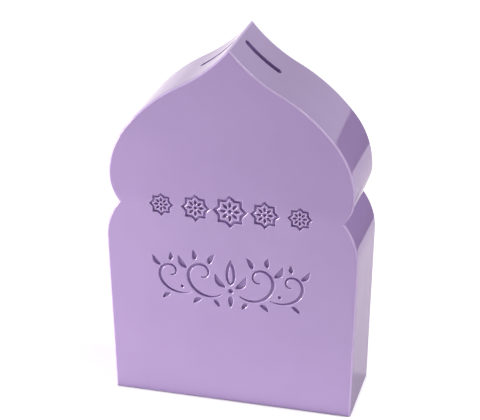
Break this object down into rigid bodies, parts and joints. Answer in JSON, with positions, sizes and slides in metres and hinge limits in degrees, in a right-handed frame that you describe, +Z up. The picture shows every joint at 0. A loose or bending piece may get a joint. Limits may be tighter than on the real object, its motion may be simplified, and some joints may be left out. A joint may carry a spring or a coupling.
{
  "type": "money box",
  "caption": "Free-standing money box with a keel-arch outline, coin slots in both slopes of its roof and a hinged rear door closed by a cam lock.",
  "frame": {"origin": "middle of the underside of the base panel, on the surface that the box stands on", "axes": "+Z up to the tip of the roof, +X to the right seen from the front, the plain front faces -Y and the door faces +Y"},
  "size_m": [0.15, 0.0571, 0.2237],
  "materials": {
    "lilac_acrylic": "polished opaque lilac cast acrylic",
    "nickel_plate": "nickel plated steel, bright",
    "zinc_plate": "zinc plated steel, satin",
    "chrome_plate": "chromed zinc casting, polished"
  },
  "bodies": {
    "case": {"front_panel": "lilac_acrylic", "back_panel": "lilac_acrylic", "base_panel": "lilac_acrylic", "roof_strip_left": "lilac_acrylic", "roof_strip_right": "lilac_acrylic", "wall_strip_left": "lilac_acrylic", "wall_strip_right": "lilac_acrylic", "door_stop_lower": "lilac_acrylic", "door_stop_upper": "lilac_acrylic", "hinge_lower_case_leaf": "nickel_plate", "hinge_lower_pin": "nickel_plate", "hinge_upper_case_leaf": "nickel_plate", "hinge_upper_pin": "nickel_plate", "hinge_lower_case_screw_1": "zinc_plate", "hinge_lower_case_screw_2": "zinc_plate", "hinge_upper_case_screw_1": "zinc_plate", "hinge_upper_case_screw_2": "zinc_plate"},
    "door": {"door_panel": "lilac_acrylic", "hinge_lower_door_leaf": "nickel_plate", "hinge_upper_door_leaf": "nickel_plate", "hinge_lower_door_screw_1": "zinc_plate", "hinge_lower_door_screw_2": "zinc_plate", "hinge_upper_door_screw_1": "zinc_plate", "hinge_upper_door_screw_2": "zinc_plate", "lock_body": "chrome_plate", "lock_nut": "zinc_plate"},
    "lock_plug": {"lock_plug": "nickel_plate", "lock_cam": "zinc_plate", "cam_screw": "zinc_plate"}
  },
  "joints": [
    {"name": "door_swing", "type": "hinge", "parent": "case", "child": "door", "pos_m": [-0.0424, 0.02875, 0.0538], "axis": [0, 0, 1], "range_deg": [0, 170]},
    {"name": "lock_turn", "type": "hinge", "parent": "door", "child": "lock_plug", "pos_m": [0.028, 0.02625, 0.0538], "axis": [0, -1, 0], "range_deg": [0, 90]}
  ]
}
